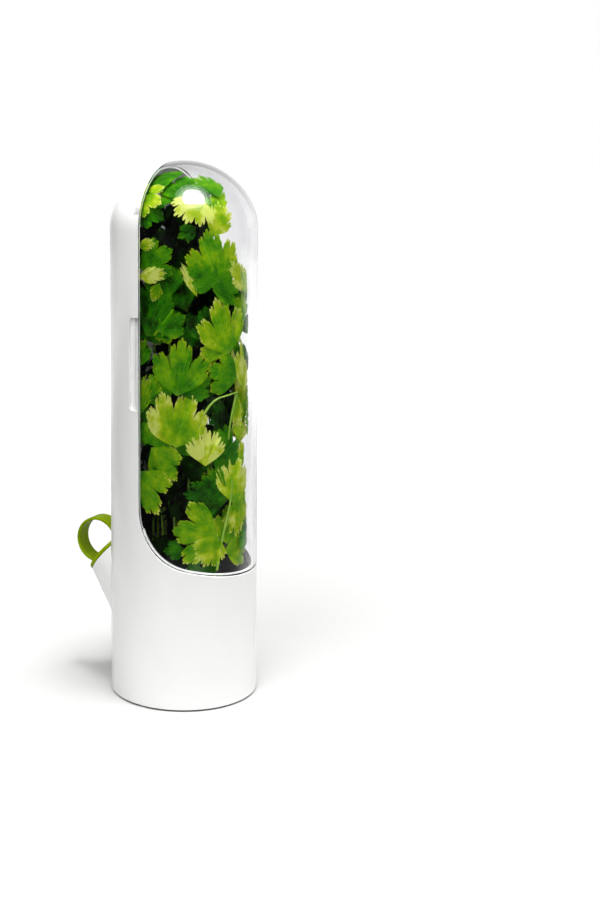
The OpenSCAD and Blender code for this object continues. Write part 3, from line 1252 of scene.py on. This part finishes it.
@dataclass(frozen=True)
class Softbox:
    """A round softbox that faces the pod. Its azimuth and rise are in degrees, as seen from where it aims."""

    name: str
    azimuth: float
    rise: float
    distance: float
    size: float
    watts: float
    # The height on the axis that it aims at
    aim: float = 0.15

    def hang(self) -> bpy.types.Object:
        """Hangs the lamp, which doesn't show through clear plastic.

        Returns:
            The lamp.
        """
        rise = math.radians(self.rise)
        height = self.aim + self.distance * math.sin(rise)
        place = on_azimuth(self.azimuth, self.distance * math.cos(rise), height)
        bpy.ops.object.light_add(type="AREA", location=place)
        lamp = bpy.context.active_object
        lamp.name = self.name
        lamp.data.shape = "DISK"
        lamp.data.size = self.size
        lamp.data.energy = self.watts
        lamp.rotation_mode = "QUATERNION"
        lamp.rotation_quaternion = (place - Vector((0, 0, self.aim))).to_track_quat("Z", "Y")
        lamp.visible_transmission = False
        return lamp


# They light the pod and are mirrored nowhere on it
SOFTBOXES = (
    Softbox("left_softbox", -78, 20, 1.6, 0.9, 8.0),
    Softbox("front_softbox", -28, 20, 1.6, 0.9, 5.6),
    Softbox("right_softbox", 35, 20, 1.6, 0.9, 9.2),
    Softbox("near_softbox", -100, 53, 0.5, 0.3, 1.4),
    Softbox("overhead_softbox", -18, 83, 1.2, 0.3, 14),
    Softbox("rear_softbox", -140, 83, 1.2, 0.3, 4.5),
)
# The dome mirrors them as a bright disc with a soft halo, and they add no light of their own
DOME_LAMPS = tuple(
    Softbox("dome_lamp", -38.2, 59.5, distance, size, watts, aim=0.241)
    for distance, size, watts in ((1.0, 0.52, 14), (1.01, 0.7, 6), (1.02, 0.9, 5))
)


@dataclass
class Studio:
    """The pale floor, the white surround and the soft lamps."""

    floor_size: float = 8.0
    floor_gap: float = 0.05 * MM
    floor_colour: str = "#CFCFCE"
    dark_colour: str = "#202020"
    # How far in front of the pod's axis and to its sides the white sheet ends for all but the camera, the
    # width of that edge, and how much wider the sheet gets towards the back
    sheet_end: float = 0.2
    sheet_edge: float = 0.1
    side_slope: float = 0.6
    # How far ahead of the axis the back part begins that shines for every ray, and where it does so fully
    back_lit: tuple[float, float] = (-0.3, -0.8)
    # The floor shines just enough by itself to look white near the pod and far away
    near_fill: float = 0.03
    far_fill: float = 1.0
    fade: tuple[float, float] = (0.1, 1.1)
    room_front: float = 0.02
    room_back: float = 0.92
    # The azimuth of the sweep's middle, and the cosines of the angles off it at which it begins and is full
    sweep: float = 98.0
    sweep_edge: tuple[float, float] = (0.45, 0.9)
    # What is left of its light high up, and the sines of the elevations between which it fades
    ceiling: float = 0.35
    ceiling_edge: tuple[float, float] = (0.1, 0.6)

    def seen_directly(self, tree: bpy.types.NodeTree) -> bpy.types.Node:
        """Adds the test for what the camera sees, straight on or through clear plastic.

        Args:
            tree: The node tree to add it to.

        Returns:
            The node that gives 1 for such a ray and 0 for any other.
        """
        rays = add(tree, "LightPath").outputs
        bounces = add(tree, "Math", (rays["Diffuse Depth"], rays["Glossy Depth"]), operation="ADD")
        first = add(tree, "Math", (bounces, 0.5), operation="LESS_THAN")
        through = add(tree, "Math", (rays["Is Transmission Ray"], first), operation="MULTIPLY")
        return add(tree, "Math", (rays["Is Camera Ray"], through), operation="MAXIMUM")

    def floor(self) -> None:
        """Lays the floor that the pod stands on. The white sheet ends a little way in front of the pod."""
        bpy.ops.object.select_all(action="DESELECT")
        bpy.ops.mesh.primitive_plane_add(size=self.floor_size, location=(0, 0, -self.floor_gap))
        floor = bpy.context.active_object
        floor.name = "studio_floor"
        material, tree, where = new_material("Matt white studio floor")
        front, right = (tuple(on_azimuth(FACING + turn)) for turn in (0, 90))
        ahead = add(tree, "VectorMath", (where, front), operation="DOT_PRODUCT").outputs["Value"]
        across = add(tree, "VectorMath", (where, right), operation="DOT_PRODUCT").outputs["Value"]
        away = add(tree, "VectorMath", (where,), operation="LENGTH").outputs["Value"]
        level = add(tree, "MapRange", (away, *self.fade, self.near_fill, self.far_fill))
        back = add(tree, "MapRange", (ahead, *self.back_lit, 0.0, 1.0))
        lit = add(tree, "Math", (self.seen_directly(tree), back), operation="MAXIMUM")
        fill = add(tree, "Math", (lit, level), operation="MULTIPLY")
        matt = add(tree, "BsdfDiffuse", {"Color": linear(self.floor_colour)})
        glow = add(tree, "Emission", {"Color": linear("#FFFFFF"), "Strength": fill})
        sheet = add(tree, "AddShader", (matt, glow))
        # Past its end the sheet is dark for the rays that it isn't lit for
        side = add(tree, "Math", (across,), operation="ABSOLUTE")
        beside = add(tree, "Math", (ahead, self.side_slope, side), operation="MULTIPLY_ADD")
        out = add(tree, "Math", (ahead, beside), operation="MAXIMUM")
        edge = (self.sheet_end, self.sheet_end + self.sheet_edge)
        past = add(tree, "MapRange", (out, *edge, 0.0, 1.0), interpolation_type="SMOOTHSTEP")
        unlit = add(tree, "Math", (1.0, lit), operation="SUBTRACT")
        share = add(tree, "Math", (past, unlit), operation="MULTIPLY")
        dark = add(tree, "BsdfDiffuse", {"Color": linear(self.dark_colour)})
        both = add(tree, "MixShader", (share, sheet, dark))
        add(tree, "OutputMaterial", {"Surface": both})
        paint(floor, material)

    def world(self) -> None:
        """Makes the surround: white to the camera, else a dark room with a lit sweep behind the pod."""
        world = bpy.data.worlds.new("studio")
        bpy.context.scene.world = world
        world.use_nodes = True
        tree = world.node_tree
        tree.nodes.clear()
        way = add(tree, "TexCoord").outputs["Generated"]
        middle = tuple(on_azimuth(self.sweep))
        facing = add(tree, "VectorMath", (way, middle), operation="DOT_PRODUCT").outputs["Value"]
        levels = (*self.sweep_edge, self.room_front, self.room_back)
        level = add(tree, "MapRange", (facing, *levels), interpolation_type="SMOOTHSTEP")
        rise = add(tree, "SeparateXYZ", (way,)).outputs["Z"]
        lower = add(tree, "MapRange", (rise, *self.ceiling_edge, 1.0, self.ceiling))
        strength = add(tree, "Math", (level, lower), operation="MULTIPLY")
        room = add(tree, "Background", {"Color": linear("#FFFFFF"), "Strength": strength})
        white = add(tree, "Background", {"Color": linear("#FFFFFF"), "Strength": 1.0})
        both = add(tree, "MixShader", (self.seen_directly(tree), room, white))
        add(tree, "OutputWorld", {"Surface": both})

    def build(self) -> None:
        """Builds the stage and hangs the lamps."""
        self.floor()
        self.world()
        for softbox in SOFTBOXES:
            softbox.hang().visible_glossy = False
        for softbox in DOME_LAMPS:
            softbox.hang().visible_diffuse = False
        bpy.context.scene.view_settings.view_transform = "Standard"


def main() -> None:
    """Builds the looks of the herb keeper."""
    logging.basicConfig(level=logging.INFO)
    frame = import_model()
    bpy.ops.object.select_all(action="DESELECT")
    MouldedParts().dress(frame["nodes"])
    camera = PhotoCamera()
    Bunch(PodRoom.from_frame(), camera).build()
    Studio().build()
    camera.build()
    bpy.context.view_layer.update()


if __name__ == "__main__":
    main()
